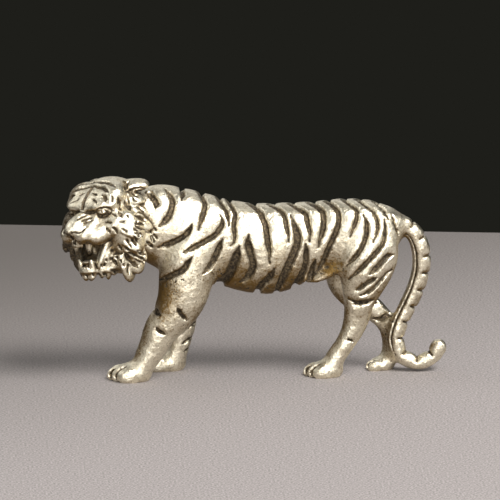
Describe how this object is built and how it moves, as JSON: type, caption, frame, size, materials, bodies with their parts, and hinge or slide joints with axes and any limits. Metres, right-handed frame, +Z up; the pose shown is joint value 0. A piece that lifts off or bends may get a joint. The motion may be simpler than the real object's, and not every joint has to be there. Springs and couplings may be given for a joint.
{
  "type": "animal figurine",
  "caption": "Solid cast brass tiger figurine, striding with its head turned and mouth open, stripes cut in, tail curled at the floor; a small desk or shelf ornament.",
  "frame": {"origin": "on the floor under the middle of the figurine's box", "axes": "+Z up, -X the way the tiger walks, so the tail is at +X; -Y the side its head turns to"},
  "size_m": [0.0618, 0.0162, 0.0325],
  "materials": {
    "antique_brass": "polished on the high places, dark patina left in the cuts"
  },
  "bodies": {
    "root": {"tiger": "antique_brass"}
  },
  "joints": []
}
